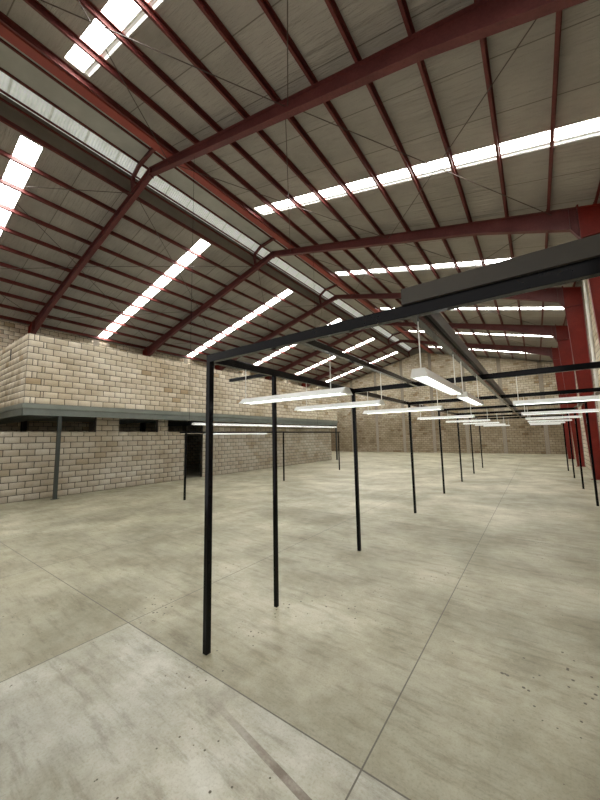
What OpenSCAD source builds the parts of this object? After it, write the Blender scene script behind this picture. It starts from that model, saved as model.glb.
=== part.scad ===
// Steel portal frame factory hall with a ridge monitor, block walls and a built-in mezzanine.
// X runs across the hall with the ridge at 0, Y along it with mid-length at 0, and Z up from the ground.

/* [Hall] */
// Spacing of the portal frames along the hall
bay = 6000; // [5000:100:6300]
// Number of bays
bays = 6; // [5:1:6]
// Clear width between the side walls
hall_w = 22700; // [21000:100:24000]
// Height of the rafters' top at the ridge, above the ground
ridge_h = 10690; // [9800:10:12000]
// Fall of the roof for each unit of run
roof_fall = 0.25; // [0.2:0.01:0.3]

/* [Floor and walls] */
// Thickness of the floor slab
slab_t = 150; // [100:10:250]
// Thickness of the block walls
wall_t = 150; // [120:10:200]
// Height of one course of blocks with its joint
course_h = 204; // [190:1:215]
// Width of the concrete tie columns in the walls
tie_w = 300; // [200:10:400]
// Spacing of the tie columns
tie_pitch = 3050; // [2600:10:3400]
// Place of the first gable tie column right of the ridge
gable_tie_x = 900; // [600:10:1200]

/* [Vehicle doorway] */
// Clear width of the doorway in the near gable
door_w = 4200; // [3000:50:4600]
// Clear height of the doorway above the floor
door_h = 4500; // [3500:50:5000]
// Depth of the concrete lintel over the doorway
lintel_h = 250; // [200:10:350]
// Outer diameter of the rolled-up shutter
shutter_roll_d = 420; // [350:10:500]
// Width of the shutter's guide channels
guide_w = 90; // [60:5:120]

/* [Portal frames] */
// Width of the columns' and rafters' flanges
flange_w = 150; // [120:10:220]
// Thickness of the flanges
flange_t = 14; // [10:1:20]
// Thickness of the webs
web_t = 8; // [6:1:12]
// Rafter depth at the ridge
ridge_depth = 240; // [200:10:350]
// Rafter depth where the taper to the knee starts
taper_depth = 390; // [330:10:450]
// Length of the taper to the knee
taper_run = 2400; // [1800:50:3000]
// Rafter depth at the knee
knee_depth = 640; // [560:10:700]
// Column depth at the base plate
column_base_depth = 310; // [250:10:400]
// Column depth at the knee
column_knee_depth = 570; // [480:10:650]
// Gap between the columns and the side walls
column_gap = 50; // [20:5:100]
// Length of the bevelled haunch under the knee
haunch_run = 190; // [150:10:400]
// Drop of the bevelled haunch under the rafter's soffit
haunch_drop = 240; // [180:10:400]
// Thickness of the bolted end plates and base plates
plate_t = 18; // [12:1:25]
// Reach of the end plates past the flanges
plate_lip = 60; // [30:5:90]

/* [Purlins] */
// Depth of the purlins
purlin_h = 150; // [120:10:200]
// Width of the purlins' flanges
purlin_w = 60; // [50:5:80]
// Thickness of the purlins' sheet steel
purlin_t = 4; // [3:1:6]
// Depth of the purlins' lips
purlin_lip = 20; // [15:1:25]
// Place of the first purlin from the ridge
first_purlin = 1360; // [1340:10:1500]
// Place of the lowest purlin in from the side wall
eave_purlin = 300; // [200:10:400]
// Number of purlins on each slope
purlin_count = 11; // [9:1:12]
// Distance by which the left slope's purlins are nearer to the ridge
left_purlin_shift = 80; // [0:10:90]
// Width of the wide channel along the monitor's right side
channel_w = 340; // [250:10:350]
// Depth of the wide channel
channel_h = 140; // [80:5:140]

/* [Roof] */
// Thickness of the insulated roof sheeting
sheet_t = 40; // [30:5:60]
// Height of the standing seams
seam_h = 50; // [35:5:65]
// Width of the standing seams
seam_w = 20; // [12:1:30]
// Spacing of the standing seams
seam_pitch = 457; // [400:1:500]
// Reach of the sheeting past the side walls
eave_reach = 100; // [60:5:140]
// Reach of the sheeting past the gable walls
verge_reach = 40; // [30:5:80]
// Width of each rooflight strip
rooflight_w = 500; // [400:10:600]
// Place of the rooflights past each frame line
rooflight_y = 3100; // [2800:10:3400]
// Upper end of the rooflights from the ridge
rooflight_top = 1550; // [1500:10:1900]
// Distance of the rooflights' lower end in from the side wall
rooflight_foot = 150; // [100:10:1200]
// Thickness of the rooflight sheet
rooflight_t = 8; // [4:1:12]
// Thickness of the folded flashings
flashing_t = 40; // [30:5:60]

/* [Ridge monitor] */
// Height of the monitor's crown above the rafters' top at the ridge
monitor_h = 700; // [600:10:900]
// Half width of the monitor's top, where its shoulder starts
monitor_top_w = 840; // [700:10:950]
// Drop from the crown to the start of the shoulder
monitor_top_drop = 110; // [80:5:160]
// Half width of the monitor at the foot of its shoulder
monitor_shoulder_w = 1200; // [1100:10:1230]
// Drop from the crown to the foot of the shoulder
monitor_shoulder_drop = 350; // [250:10:380]
// Half width of the monitor at its sides
monitor_side_w = 1250; // [1240:10:1400]
// Drop from the crown to the bend at the side
monitor_side_drop = 560; // [450:10:580]
// Inward lean of the bracket's leg
monitor_leg_lean = 70; // [0:5:120]
// Depth and width of the bent bracket tube
bracket_d = 100; // [60:5:120]
// Size of the monitor's small square purlins
monitor_purlin_d = 50; // [30:5:60]
// Thickness of the monitor's cladding
cladding_t = 16; // [10:1:25]

/* [Roof bracing] */
// Diameter of the bracing rods
rod_d = 20; // [12:1:25]
// Depth of the rods below the rafters' top
rod_drop = 100; // [80:10:160]
// Upper end of the upper braced panel from the ridge
brace_top = 1000; // [900:10:1200]
// Middle of the slope, where the two braced panels meet
brace_mid = 5500; // [5000:50:6000]
// Lower end of the lower braced panel from the ridge
brace_end = 10200; // [9500:50:10300]

/* [Gutters and pipes] */
// Width of the box gutters
gutter_w = 180; // [150:10:250]
// Depth of the box gutters
gutter_h = 160; // [120:10:200]
// Thickness of the gutters' sheet
gutter_t = 4; // [3:1:6]
// Diameter of the downpipes
downpipe_d = 110; // [75:5:150]
// Place along the hall of the downpipe inside the right wall
inside_pipe_y = -1100; // [-2500:50:-400]

/* [Mezzanine] */
// Distance of the upper front wall from the ridge line
mezz_front = 3500; // [3000:50:4500]
// Reach of the mezzanine's near end past the first portal frame
mezz_reach = 1920; // [1500:10:2400]
// Distance of the mezzanine's far end before the fourth portal frame
mezz_end_gap = 150; // [130:10:1000]
// Height of the mezzanine deck above the ground
deck_h = 3230; // [3000:10:3600]
// Thickness of the mezzanine deck
deck_t = 150; // [120:10:220]
// Reach of the deck past the upper walls
deck_lip = 30; // [10:5:60]
// Depth of the mezzanine's steel beams
beam_h = 220; // [200:10:300]
// Width of the mezzanine's steel beams
beam_w = 120; // [90:5:150]
// Thickness of the steel beams' flanges and webs
beam_t = 10; // [6:1:14]
// Width of the square mezzanine posts
mezz_post_w = 100; // [80:5:140]
// Spacing of the mezzanine's cross beams
mezz_beam_pitch = 4200; // [4000:10:4250]
// Courses in the upper walls
upper_courses = 11; // [8:1:12]
// Set-back of the lower front wall behind the upper one
lower_setback = 620; // [400:10:900]
// Height of the lower wall's low near part and of its openings' sills above the ground
sill_h = 2350; // [2200:10:2500]
// Height of the head of the high openings above the ground
head_h = 2880; // [2750:10:2920]
// Reach of the lower wall's low part past the mezzanine's near end
low_wall_reach = 2350; // [1800:10:2600]
// Clear width of the office doorway
office_door_w = 900; // [800:10:1000]
// Clear height of the office doorway
office_door_h = 2100; // [2000:10:2150]
// Place of the office doorway from the mezzanine's near end
office_door_y = 6330; // [6300:10:6600]

/* [Lighting frame] */
// Width of the lighting frame's posts and beams
tube_w = 50; // [40:5:80]
// Depth of the lighting frame's beams
tube_h = 75; // [60:5:100]
// Height of the middle of the lighting frame's beams above the ground
frame_beam_h = 2790; // [2600:10:3000]
// Spacing of the lighting frame's posts
frame_pitch = 3060; // [2800:10:3100]
// Number of posts in each row of the lighting frame
frame_posts = 7; // [5:1:8]
// Distance of the first post from the near gable wall
frame_start = 2960; // [2700:10:3200]
// Gap between the outer row of posts and the right side wall
frame_side_gap = 900; // [750:10:1100]
// Width of the lighting frame, from row to row
frame_w = 3610; // [3500:10:3700]
// Place of the middle beam from the inner row
middle_beam_x = 1940; // [1800:10:2000]
// Place of the thin rail from the inner row
rail_x = 1080; // [1070:10:1200]
// Width of the thin rail
rail_w = 50; // [30:5:60]
// Place of the slim post and its side arm from the first row of posts
slim_post_y = 950; // [800:10:1200]
// Width of the slim post and its side arm
slim_post_w = 40; // [25:5:50]
// Length of the side arm at the slim post's head
side_arm_l = 770; // [400:10:900]
// Width of the cable trunking
trunking_w = 100; // [60:10:160]
// Height of the cable trunking
trunking_h = 100; // [60:10:120]

/* [Light lines] */
// Distance of the low light line from the ridge line
line_x = 390; // [300:10:500]
// Height of the top of the low light line's rail above the ground
line_h = 2250; // [2150:10:2400]
// Spacing of the low light line's posts
line_pitch = 4900; // [4500:50:5000]
// Distance of the low line's first post from the near gable wall
line_start = 7200; // [7000:50:7500]
// Distance of the hung light rail from the ridge line
hung_x = 2240; // [2000:10:2600]
// Distance of the hung rail's first luminaire from the near gable wall
hung_start = 6120; // [6060:10:6300]
// Thickness of the hung rail
hung_rail_w = 30; // [20:5:50]
// Diameter of the wires that hold the hung rail
wire_d = 8; // [6:1:12]

/* [Luminaires] */
// Length of the short luminaires
lamp_l = 1220; // [1200:10:1250]
// Length of the luminaires on the low line
low_lamp_l = 1520; // [1500:10:1550]
// Length of the long luminaires on the hung rail
long_lamp_l = 2440; // [2400:10:2450]
// Height of the luminaires' underside above the ground
lamp_h = 2380; // [2300:10:2450]
// Width of the reflectors
lamp_w = 200; // [150:10:250]
// Height of the reflectors
lamp_body_h = 55; // [40:5:80]
// Width of the reflectors' spine
lamp_spine_w = 70; // [50:5:90]
// Diameter of the fluorescent tubes
bulb_d = 26; // [16:1:30]
// Spacing of the two tubes in a luminaire
bulb_pitch = 100; // [70:5:120]
// Width of the narrow luminaires under the middle beam
batten_w = 104; // [100:1:130]
// Width of the narrow luminaires' spine
batten_spine_w = 80; // [74:1:84]
// Spacing of the two tubes in a narrow luminaire
batten_pitch = 52; // [44:1:54]
// Diameter of the hanging rods
hanger_d = 8; // [6:1:12]

/* [Hidden] */

half_w = hall_w / 2;
half_l = bays * bay / 2;
out_x = half_w + wall_t;
out_y = half_l + wall_t;
roof_angle = atan(roof_fall);
frame_lines = [for (i = [1 : bays - 1]) i * bay - half_l];
bay_starts = [for (i = [0 : bays - 1]) i * bay - half_l];
column_out_x = half_w - column_gap;
knee_x = column_out_x - column_knee_depth;
sheet_n = purlin_h;
sheet_top_n = purlin_h + sheet_t;
door_top = slab_t + door_h;
lintel_top = door_top + lintel_h;
clear = 1;

function roof_z(x) = ridge_h - roof_fall * abs(x);
taper_x = knee_x - taper_run;
function rafter_depth(x) = x < taper_x
    ? ridge_depth + (taper_depth - ridge_depth) * x / taper_x
    : taper_depth + (knee_depth - taper_depth) * (x - taper_x) / taper_run;
function soffit_z(x) = roof_z(x) - rafter_depth(x);
// Distance down the slope of the point at x across the hall and n above the rafters' top
function down_slope(x, n) = (x - n * sin(roof_angle)) / cos(roof_angle);

// An XZ outline carried along the hall from y0 to y1
module along_hall(y0, y1) {
    translate([0, y1, 0]) rotate([90, 0, 0]) linear_extrude(height = y1 - y0) children();
}

// A YZ outline carried across the hall, or down the slope in the slope's own frame
module across_hall(start, l) {
    translate([start, 0, 0]) rotate([90, 0, 90]) linear_extrude(height = l) children();
}

module box_between(low, high) {
    translate(low) cube(high - low);
}

module both_slopes() {
    children();
    mirror([1, 0, 0]) children();
}

// The right slope's own frame: X down the slope, Z square to it, from the ridge at the rafters' top
module on_slope() {
    translate([0, 0, ridge_h]) rotate([0, roof_angle, 0]) children();
}

module rod(p, q, d) {
    v = q - p;
    l = norm(v);
    translate(p) rotate([0, acos(v[2] / l), atan2(v[1], v[0])]) cylinder(h = l, d = d, $fn = 24);
}

// Floor and walls

module floor_slab() {
    color("#a9a79d") {
        box_between([-half_w, -half_l, 0], [half_w, half_l, slab_t]);
        box_between([-door_w / 2, -out_y, 0], [door_w / 2, -half_l + clear, slab_t]);
    }
}

side_wall_top = roof_z(out_x) + purlin_h / cos(roof_angle);
side_ties = [for (y = [-half_l + tie_pitch : tie_pitch : half_l - tie_pitch / 2]) y];
side_panel_starts = concat([-half_l], [for (y = side_ties) y + tie_w / 2]);
side_panel_ends = concat([for (y = side_ties) y - tie_w / 2], [half_l]);

module side_wall() {
    for (i = [0 : len(side_panel_starts) - 1])
        box_between([half_w, side_panel_starts[i], 0], [out_x, side_panel_ends[i], side_wall_top]);
}

module left_side_wall() {
    color("#c4b79c") mirror([1, 0, 0]) side_wall();
}

module right_side_wall() {
    color("#c4b79c") side_wall();
}

module side_tie_columns() {
    color("#a39c8b") both_slopes() for (y = side_ties)
        box_between([half_w, y - tie_w / 2, 0], [out_x, y + tie_w / 2, side_wall_top]);
}

gable_ties = [for (k = [-ceil(out_x / tie_pitch) : ceil(out_x / tie_pitch)])
    let (x = gable_tie_x + k * tie_pitch) if (abs(x) < out_x - tie_w) x];

// The part of a gable wall's outline between two places across the hall, from z0 up
module gable_slice(x0, x1, z0) {
    crown = x0 < 0 && x1 > 0 ? [[0, roof_z(0)]] : [];
    polygon(concat([[x0, z0], [x1, z0], [x1, roof_z(x1)]], crown, [[x0, roof_z(x0)]]));
}

module far_gable_wall() {
    starts = concat([-out_x], [for (x = gable_ties) x + tie_w / 2]);
    ends = concat([for (x = gable_ties) x - tie_w / 2], [out_x]);
    color("#bfb198") along_hall(half_l, out_y) for (i = [0 : len(starts) - 1])
        gable_slice(starts[i], ends[i], 0);
}

jamb_x = door_w / 2 + tie_w;
near_ties_left = [for (x = gable_ties) if (x < -jamb_x - tie_w) x];
near_ties_right = [for (x = gable_ties) if (x > jamb_x + tie_w) x];

module near_gable_wall_left() {
    starts = concat([-out_x], [for (x = near_ties_left) x + tie_w / 2]);
    ends = concat([for (x = near_ties_left) x - tie_w / 2], [-jamb_x]);
    color("#bfb198") along_hall(-out_y, -half_l) for (i = [0 : len(starts) - 1])
        gable_slice(starts[i], ends[i], 0);
}

module near_gable_wall_right() {
    starts = concat([jamb_x], [for (x = near_ties_right) x + tie_w / 2]);
    ends = concat([for (x = near_ties_right) x - tie_w / 2], [out_x]);
    color("#bfb198") along_hall(-out_y, -half_l) for (i = [0 : len(starts) - 1])
        gable_slice(starts[i], ends[i], 0);
}

module near_gable_wall_over_door() {
    color("#bfb198") along_hall(-out_y, -half_l) gable_slice(-door_w / 2, door_w / 2, lintel_top);
}

module gable_tie_columns() {
    color("#a39c8b") {
        along_hall(half_l, out_y) for (x = gable_ties)
            gable_slice(x - tie_w / 2, x + tie_w / 2, 0);
        along_hall(-out_y, -half_l) {
            for (x = concat(near_ties_left, near_ties_right))
                gable_slice(x - tie_w / 2, x + tie_w / 2, 0);
            gable_slice(-jamb_x, -door_w / 2, 0);
            gable_slice(door_w / 2, jamb_x, 0);
        }
    }
}

module door_lintels() {
    color("#a39c8b") {
        box_between([-door_w / 2, -out_y, door_top], [door_w / 2, -half_l, lintel_top]);
        box_between([lower_x - wall_t, office_door_start, slab_t + office_door_h],
                    [lower_x, office_door_end, sill_h]);
    }
}

// Rolled-up shutter over the vehicle doorway, inside the near gable wall

shutter_y = -half_l + shutter_roll_d / 2 + 25;
shutter_z = door_top + shutter_roll_d / 2 + 60;
shutter_end_t = 12;
shutter_end_lip = 20;
shutter_end_z = shutter_z - shutter_roll_d / 2 - shutter_end_lip;
curtain_t = 20;
curtain_y = -half_l + 20;
curtain_drop = 120;
guide_back = 18;
guide_front = 22;
guide_jaw = 4;

module roller_shutter() {
    color("#8c9296") {
        translate([-door_w / 2 - guide_w, shutter_y, shutter_z]) rotate([0, 90, 0])
            cylinder(h = door_w + 2 * guide_w, d = shutter_roll_d, $fn = 64);
        for (side = [-1, 1])
            translate([side * (door_w / 2 + guide_w + shutter_end_t / 2), 0, 0])
                box_between([-shutter_end_t / 2, -half_l, shutter_end_z],
                            [shutter_end_t / 2, shutter_y + shutter_roll_d / 2 + shutter_end_lip,
                             shutter_z + shutter_roll_d / 2 + shutter_end_lip]);
        box_between([-door_w / 2 - guide_w / 2, curtain_y, door_top - curtain_drop],
                    [door_w / 2 + guide_w / 2, curtain_y + curtain_t, shutter_z]);
    }
}

module shutter_guides() {
    color("#6f7477") for (side = [0, 1]) mirror([side, 0, 0]) difference() {
        box_between([door_w / 2, -half_l, slab_t],
                    [door_w / 2 + guide_w, -half_l + guide_back + curtain_t + guide_front, shutter_end_z]);
        box_between([door_w / 2 - clear, -half_l + guide_back, slab_t - clear],
                    [door_w / 2 + guide_w / 2 + guide_jaw, -half_l + guide_front + curtain_t, shutter_z]);
    }
}

// Portal frames

// A plate of thickness t lying on the polyline of points, as an outline across the hall
function band_up(points, t) = concat(points, [for (i = [len(points) - 1 : -1 : 0]) points[i] + [0, t]]);
function band_out(points, t) = concat(points, [for (i = [len(points) - 1 : -1 : 0]) points[i] + [t, 0]]);

haunch_x = knee_x - haunch_run;
haunch_z = soffit_z(knee_x) - haunch_drop;
column_base_x = column_out_x - column_base_depth;
base_top = slab_t + plate_t;
stiffener_t = 10;

module web(y) {
    along_hall(y - web_t / 2, y + web_t / 2) children();
}

module flange(y) {
    along_hall(y - flange_w / 2, y + flange_w / 2) children();
}

module rafter(y) {
    end_x = knee_x - plate_t;
    web(y) polygon([[0, roof_z(0)], [end_x, roof_z(end_x)], [end_x, haunch_z],
                    [haunch_x, soffit_z(haunch_x)], [taper_x, soffit_z(taper_x)], [0, soffit_z(0)]]);
    flange(y) polygon(band_up([[0, roof_z(0) - flange_t], [end_x, roof_z(end_x) - flange_t]], flange_t));
    flange(y) polygon(band_up([[0, soffit_z(0)], [taper_x, soffit_z(taper_x)],
                               [haunch_x, soffit_z(haunch_x)], [end_x, haunch_z]], flange_t));
    box_between([0, y - flange_w / 2, soffit_z(0) - plate_lip], [plate_t, y + flange_w / 2, roof_z(0)]);
    box_between([end_x, y - flange_w / 2, haunch_z - plate_lip],
                [knee_x, y + flange_w / 2, roof_z(knee_x) + plate_lip]);
    flange(y) polygon(band_out([[haunch_x, soffit_z(haunch_x)],
                                [haunch_x, roof_z(haunch_x) - flange_t / 2]], stiffener_t));
}

module column(y) {
    web(y) polygon([[column_base_x, slab_t], [column_out_x, slab_t], [column_out_x, roof_z(column_out_x)],
                    [knee_x, roof_z(knee_x)], [knee_x, haunch_z]]);
    flange(y) polygon([[column_out_x - flange_t, slab_t], [column_out_x, slab_t],
                       [column_out_x, roof_z(column_out_x)],
                       [column_out_x - flange_t, roof_z(column_out_x)]]);
    flange(y) polygon([[column_base_x, slab_t], [column_base_x + flange_t, slab_t],
                       [knee_x + flange_t, haunch_z], [knee_x, haunch_z]]);
    flange(y) polygon(band_up([[knee_x, roof_z(knee_x) - flange_t],
                               [column_out_x, roof_z(column_out_x) - flange_t]], flange_t));
    box_between([knee_x, y - flange_w / 2, haunch_z - plate_lip],
                [knee_x + plate_t, y + flange_w / 2, roof_z(knee_x) + plate_lip]);
    box_between([knee_x, y - flange_w / 2, haunch_z],
                [column_out_x, y + flange_w / 2, haunch_z + stiffener_t]);
    box_between([column_base_x - plate_lip, y - flange_w / 2 - plate_lip / 2, slab_t],
                [column_out_x + column_gap / 2, y + flange_w / 2 + plate_lip / 2, base_top]);
}

module left_columns() {
    color("#6e231c") mirror([1, 0, 0]) for (y = frame_lines) column(y);
}

module right_columns() {
    color("#6e231c") for (y = frame_lines) column(y);
}

module left_rafters() {
    color("#6e231c") mirror([1, 0, 0]) for (y = frame_lines) rafter(y);
}

module right_rafters() {
    color("#6e231c") for (y = frame_lines) rafter(y);
}

// Purlins

module purlin_section() {
    difference() {
        square([purlin_w, purlin_h]);
        translate([purlin_t, purlin_t]) square([purlin_w - 2 * purlin_t, purlin_h - 2 * purlin_t]);
        translate([purlin_t, purlin_lip]) square([purlin_w, purlin_h - 2 * purlin_lip]);
    }
}

module purlins(shift) {
    pitch = (half_w - eave_purlin - first_purlin) / (purlin_count - 1);
    for (i = [0 : purlin_count - 1]) {
        x = first_purlin - shift + i * pitch;
        translate([x, 0, roof_z(x)]) rotate([0, roof_angle, 0])
            along_hall(-out_y, out_y) purlin_section();
    }
}

// The wide channel lies on the rafters, open upward, in a length for each bay between the monitor's
// brackets
channel_x = 990;
channel_starts = concat([-half_l], [for (y = frame_lines) y + bracket_d / 2]);
channel_ends = concat([for (y = frame_lines) y - bracket_d / 2], [half_l]);

module wide_channel() {
    on_slope() for (i = [0 : bays - 1])
        along_hall(channel_starts[i], channel_ends[i]) translate([channel_x, 0])
            difference() {
                square([channel_w, channel_h]);
                translate([purlin_t, purlin_t]) square([channel_w - 2 * purlin_t, channel_h]);
            }
}

module left_purlins() {
    color("#5d1f1a") mirror([1, 0, 0]) purlins(left_purlin_shift);
}

module right_purlins() {
    color("#5d1f1a") {
        purlins(0);
        wide_channel();
    }
}

// Lines of the ridge monitor

monitor_side = [[monitor_top_w, monitor_h - monitor_top_drop],
                [monitor_shoulder_w, monitor_h - monitor_shoulder_drop],
                [monitor_side_w, monitor_h - monitor_side_drop]];
monitor_foot_x = monitor_side_w - monitor_leg_lean;
monitor_foot = [monitor_foot_x, roof_z(monitor_foot_x) - ridge_h];
monitor_right = concat(monitor_side, [monitor_foot]);
monitor_left = [for (i = [len(monitor_right) - 1 : -1 : 0]) [-monitor_right[i][0], monitor_right[i][1]]];
monitor_line = concat(monitor_left, [[0, monitor_h]], monitor_right);

// The square-to-the-line direction of a stretch from p to q, on the hall's side of it
function inward(p, q) = [q[1] - p[1], p[0] - q[0]] / norm(q - p);
// The monitor's line moved inwards by d, or outwards where d is below 0
function inset_line(line, d) = [for (i = [0 : len(line) - 1])
    let (before = inward(line[max(i - 1, 0)], line[max(i, 1)]),
         after = inward(line[min(i, len(line) - 2)], line[min(i + 1, len(line) - 1)]))
    line[i] + (before + after) * d / (1 + before * after)];
// The outline between two distances from the line, from its point a to its point b
function layer(a, b, d0, d1) = concat([for (i = [a : b]) inset_line(monitor_line, d0)[i]],
                                      [for (i = [b : -1 : a]) inset_line(monitor_line, d1)[i]]);

skin_line = inset_line(monitor_line, -monitor_purlin_d);
outer_line = inset_line(monitor_line, -monitor_purlin_d - cladding_t);
crown_i = len(monitor_right);
monitor_edge_x = outer_line[crown_i + 3][0];
bracket_lines = concat([-half_l - wall_t / 2], frame_lines, [half_l + wall_t / 2]);

// Roof sheeting and rooflights

sheet_start = down_slope(monitor_edge_x, sheet_n);
sheet_end = down_slope(out_x + eave_reach, sheet_n);
sheet_half_l = out_y + verge_reach;
seam_count = floor((2 * sheet_half_l - seam_pitch) / seam_pitch);
rooflight_start = down_slope(rooflight_top, sheet_n);
rooflight_l = down_slope(half_w - rooflight_foot, sheet_n) - rooflight_start;

module seamed_section() {
    seams = [for (i = [seam_count / 2 : -1 : -seam_count / 2]) i * seam_pitch];
    seam = [[seam_w / 2, 0], [seam_w / 2, seam_h], [-seam_w / 2, seam_h], [-seam_w / 2, 0]];
    polygon(concat(
        [[-sheet_half_l, sheet_n], [sheet_half_l, sheet_n], [sheet_half_l, sheet_top_n]],
        [for (y = seams, p = seam) [y + p[0], sheet_top_n + p[1]]],
        [[-sheet_half_l, sheet_top_n]]));
}

module sheeting() {
    on_slope() difference() {
        across_hall(sheet_start, sheet_end - sheet_start) seamed_section();
        for (y = bay_starts)
            box_between([rooflight_start, y + rooflight_y, sheet_n - clear],
                        [rooflight_start + rooflight_l, y + rooflight_y + rooflight_w,
                         sheet_top_n + seam_h + clear]);
    }
}

module rooflights() {
    on_slope() for (y = bay_starts) translate([0, y + rooflight_y, 0])
        across_hall(rooflight_start, rooflight_l) {
            translate([0, sheet_top_n - rooflight_t]) square([rooflight_w, rooflight_t]);
            for (edge = [0, rooflight_w - seam_w])
                translate([edge, sheet_top_n - rooflight_t]) square([seam_w, rooflight_t + seam_h]);
        }
}

module left_roof_sheeting() {
    color("#8b8678") mirror([1, 0, 0]) sheeting();
}

module right_roof_sheeting() {
    color("#8b8678") sheeting();
}

module left_rooflights() {
    color("#f4f6f2") mirror([1, 0, 0]) rooflights();
}

module right_rooflights() {
    color("#f4f6f2") rooflights();
}

module verge_flashings() {
    inner = down_slope(monitor_edge_x, sheet_n);
    color("#8b8678") both_slopes() on_slope() for (side = [0, 1]) mirror([0, side, 0])
        box_between([inner, out_y, -purlin_h / 2], [sheet_end, out_y + verge_reach, sheet_n]);
}

// The ridge monitor's pieces

module at_ridge() {
    translate([0, 0, ridge_h]) children();
}

module monitor_brackets() {
    color("#6e231c") at_ridge() for (y = bracket_lines)
        along_hall(y - bracket_d / 2, y + bracket_d / 2)
            intersection() {
                polygon(layer(0, len(monitor_line) - 1, 0, bracket_d));
                polygon([[-2 * monitor_side_w, -2 * monitor_side_w * roof_fall], [0, 0],
                         [2 * monitor_side_w, -2 * monitor_side_w * roof_fall],
                         [2 * monitor_side_w, 2 * monitor_h], [-2 * monitor_side_w, 2 * monitor_h]]);
            }
}

// A square purlin on the stretch of the monitor's line from point i, at a share of its length
module monitor_purlin(i, share) {
    p = monitor_line[i];
    q = monitor_line[i + 1];
    c = p + (q - p) * share;
    translate([c[0], c[1]]) rotate(atan2(q[1] - p[1], q[0] - p[0]))
        translate([-monitor_purlin_d / 2, 0]) square(monitor_purlin_d);
}

module monitor_purlins() {
    color("#5d1f1a") both_slopes() at_ridge() along_hall(-out_y, out_y) {
        monitor_purlin(crown_i, 0.1);
        monitor_purlin(crown_i, 0.92);
        monitor_purlin(crown_i + 1, 0.9);
        monitor_purlin(crown_i + 2, 0.6);
    }
}

module monitor_top_sheet() {
    color("#9b9a92") at_ridge() along_hall(-out_y, out_y)
        polygon(layer(crown_i - 1, crown_i + 1, -monitor_purlin_d, -monitor_purlin_d - cladding_t));
}

module monitor_shoulder_lights() {
    color("#dfe6da") both_slopes() at_ridge() along_hall(-out_y, out_y)
        polygon(layer(crown_i + 1, crown_i + 2, -monitor_purlin_d, -monitor_purlin_d - cladding_t));
}

module monitor_side_sheets() {
    foot_z = roof_z(monitor_edge_x) - ridge_h + purlin_h;
    side = layer(crown_i + 2, crown_i + 3, -monitor_purlin_d, -monitor_purlin_d - cladding_t);
    color("#a89a80") both_slopes() at_ridge() along_hall(-out_y, out_y)
        polygon([side[0], side[1], [side[1][0], foot_z], [side[2][0], foot_z], side[2], side[3]]);
}

module monitor_end_sheets() {
    inner_n = roof_z(monitor_edge_x) - ridge_h;
    color("#a89a80") at_ridge() for (side = [0, 1]) mirror([0, side, 0])
        along_hall(out_y, out_y + cladding_t)
            polygon(concat([for (i = [crown_i - 3 : crown_i + 3]) outer_line[i]],
                           [[monitor_edge_x, inner_n], [0, 0], [-monitor_edge_x, inner_n]]));
}

// Roof bracing rods, crossing in two panels of each bay and slope, one passing over the other

rod_gap = 5;

module brace_pair(x0, x1, y0, y1) {
    for (cross = [0, 1]) {
        drop = rod_drop + cross * (rod_d + rod_gap);
        ya = cross == 0 ? y0 : y1;
        yb = cross == 0 ? y1 : y0;
        rod([x0, ya, roof_z(x0) - drop], [x1, yb, roof_z(x1) - drop], rod_d);
    }
}

module roof_bracing() {
    color("#4a3a34") both_slopes() for (y = bay_starts) {
        y0 = y == bay_starts[0] ? y : y + web_t / 2;
        y1 = y == bay_starts[bays - 1] ? y + bay : y + bay - web_t / 2;
        intersection() {
            union() {
                brace_pair(brace_top, brace_mid - rod_d, y - rod_d, y + bay + rod_d);
                brace_pair(brace_mid + rod_d, brace_end, y - rod_d, y + bay + rod_d);
            }
            box_between([0, y0, 0], [half_w, y1, ridge_h]);
        }
    }
}

// Gutters and downpipes

gutter_z = side_wall_top - gutter_h - flashing_t;

module eaves_gutters() {
    color("#77756c") both_slopes() difference() {
        box_between([out_x, -sheet_half_l, gutter_z], [out_x + gutter_w, sheet_half_l, gutter_z + gutter_h]);
        box_between([out_x + gutter_t, -sheet_half_l + gutter_t, gutter_z + gutter_t],
                    [out_x + gutter_w - gutter_t, sheet_half_l - gutter_t, gutter_z + gutter_h + clear]);
    }
}

module downpipes() {
    pipe_lines = [-half_l + downpipe_d, frame_lines[0], frame_lines[bays - 2], half_l - downpipe_d];
    color("#d8d6cc") {
        both_slopes() for (y = pipe_lines)
            translate([out_x + gutter_w / 2, y, 0]) cylinder(h = gutter_z, d = downpipe_d, $fn = 32);
        translate([half_w - downpipe_d / 2, inside_pipe_y, slab_t])
            cylinder(h = side_wall_top - slab_t - purlin_h, d = downpipe_d, $fn = 32);
    }
}

// Mezzanine and offices

mezz_y0 = frame_lines[0] - mezz_reach;
mezz_y1 = frame_lines[3] - mezz_end_gap;
deck_soffit = deck_h - deck_t;
beam_z = deck_soffit - beam_h;
deck_x = -mezz_front + deck_lip;
deck_y0 = mezz_y0 - deck_lip;
deck_y1 = mezz_y1 + deck_lip;
upper_top = deck_h + upper_courses * course_h;
lower_x = -mezz_front - lower_setback;
lower_top = deck_soffit;
office_door_start = mezz_y0 + office_door_y;
office_door_end = office_door_start + office_door_w;
beam_setback = 10;
post_setback = 20;
post_x = -mezz_front - mezz_post_w / 2 - post_setback;
first_beam = 1000;
post_lines = [mezz_y0 + first_beam, mezz_y1 - mezz_post_w];
beam_lines = concat([for (y = [post_lines[0] : mezz_beam_pitch : mezz_y1 - mezz_beam_pitch / 2]) y],
                    [post_lines[1]]);
notch = 20;

// Room round each column that stands in the mezzanine
module column_notches(z0, z1) {
    for (y = frame_lines)
        if (y > mezz_y0 && y < mezz_y1)
            box_between([-half_w - clear, y - flange_w / 2 - notch, z0],
                        [-knee_x + notch, y + flange_w / 2 + notch, z1]);
}

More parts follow.
